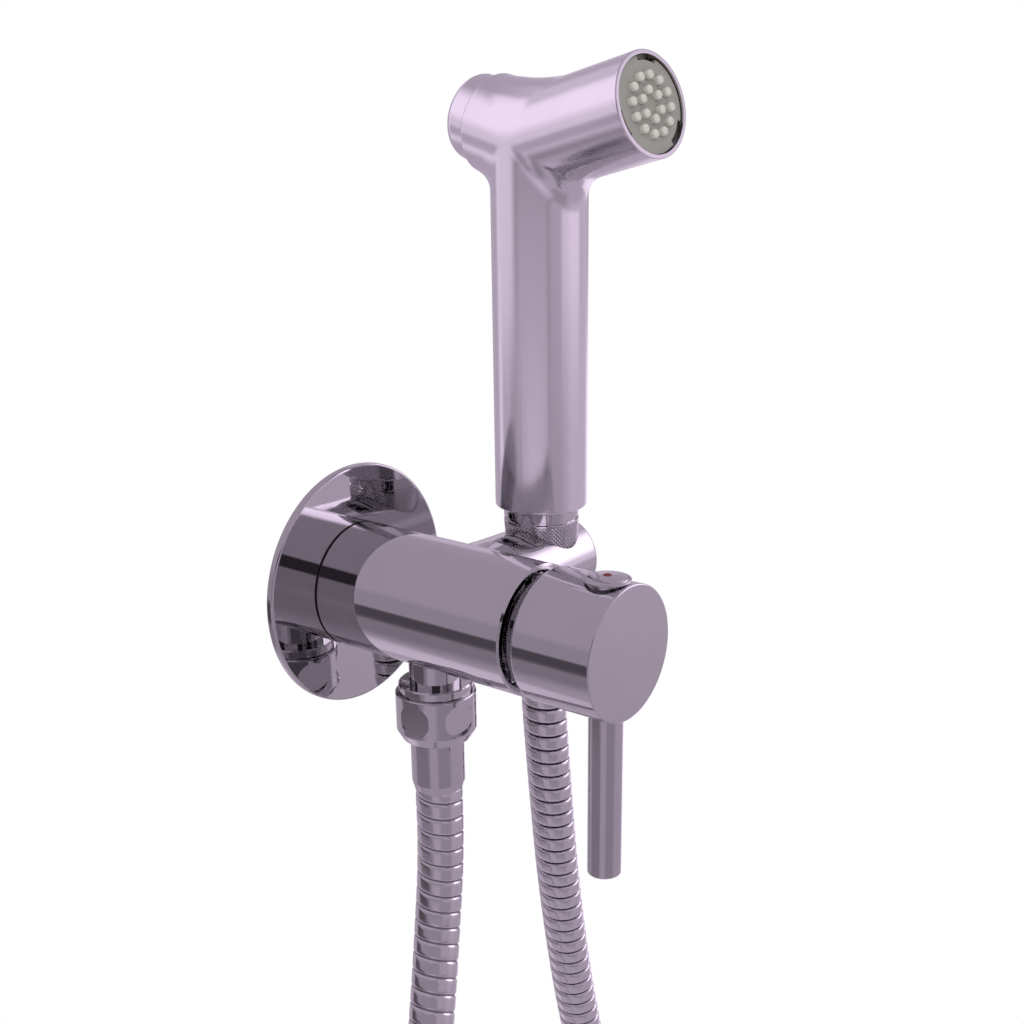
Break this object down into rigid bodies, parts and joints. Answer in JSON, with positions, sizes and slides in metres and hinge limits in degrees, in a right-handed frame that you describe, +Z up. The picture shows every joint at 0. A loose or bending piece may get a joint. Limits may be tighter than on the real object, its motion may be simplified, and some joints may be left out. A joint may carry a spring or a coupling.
{
  "type": "bidet mixer",
  "caption": "Wall-mounted single-lever mixer with a side arm that holds a trigger hand spray on a looped ribbed hose.",
  "frame": {"origin": "centre of the rosette's back face, on the finished wall", "axes": "+Z up; -Y out of the wall into the room; +X along the holder arm, from the mixer to the handset"},
  "size_m": [0.1571, 0.1401, 0.6201],
  "materials": {
    "chrome": "polished",
    "handset_chrome": "polished",
    "brass": "cast and machined",
    "steel": "turned",
    "rubber": "matt",
    "foam": "closed-cell foam",
    "white_plastic": "moulded",
    "dark_plastic": "moulded",
    "ceramic": "lapped",
    "plate_grey": "satin",
    "nozzle": "soft silicone",
    "red_mark": "enamel"
  },
  "bodies": {
    "mixer": {"wall_manifold": "brass", "wall_gasket": "foam", "rosette": "chrome", "mixer_body": "chrome", "body_set_screw": "steel", "inlet_seal": "rubber", "neck_oring": "rubber", "holder_arm": "chrome", "holder_bush": "white_plastic", "outlet_nipple": "chrome", "outlet_oring": "rubber", "hose_nut": "chrome", "hose_washer": "rubber", "lower_ferrule": "chrome", "hose": "chrome", "cartridge_housing": "white_plastic", "cartridge_seals": "rubber", "fixed_disc": "ceramic", "retaining_nut": "steel", "dome_cover": "chrome"},
    "turret": {"turret": "dark_plastic", "pivot_pin": "steel"},
    "disc": {"moving_disc": "ceramic", "disc_carrier": "dark_plastic"},
    "knob": {"stem": "steel", "knob": "chrome", "lever_pin": "chrome", "grub_screw": "steel", "indicator_plug": "chrome", "temperature_mark": "red_mark"},
    "hose_end": {"upper_ferrule": "chrome"},
    "handset": {"knurled_nut": "chrome", "handset_washer": "rubber", "handset_connector": "brass", "supply_tube": "white_plastic", "handset_shell": "handset_chrome", "valve_housing": "white_plastic", "head_seal": "rubber", "flow_disc": "white_plastic", "nozzle_mat": "nozzle", "spray_plate": "plate_grey", "button_spring": "steel"},
    "trigger": {"trigger_button": "handset_chrome", "valve_stem": "steel", "valve_seal": "rubber"}
  },
  "joints": [
    {"name": "knob_turn", "type": "hinge", "parent": "mixer", "child": "turret", "pos_m": [0, 0, 0], "axis": [0, -1, 0], "range_deg": [-50, 50]},
    {"name": "knob_lift", "type": "hinge", "parent": "turret", "child": "knob", "pos_m": [0, -0.078, 0], "axis": [-1, 0, 0], "range_deg": [0, 13]},
    {"name": "disc_slide", "type": "slide", "parent": "turret", "child": "disc", "axis": [0, 0, -1], "range_m": [0, 0.0046]},
    {"name": "handset_lift", "type": "slide", "parent": "mixer", "child": "hose_end", "axis": [0, 0, 1], "range_m": [0, 0.03]},
    {"name": "handset_turn", "type": "hinge", "parent": "hose_end", "child": "handset", "pos_m": [0.0454, -0.034, 0], "axis": [0, 0, 1], "continuous": true},
    {"name": "trigger_press", "type": "slide", "parent": "handset", "child": "trigger", "axis": [-0.1086, -0.9683, -0.225], "range_m": [0, 0.003], "stiffness_N_per_m": 1000, "springref_m": -0.004, "deforming": ["button_spring"]}
  ],
  "couplings": [
    {"joint": "disc_slide", "follows": "knob_lift", "m_per_rad": 0.020027}
  ]
}
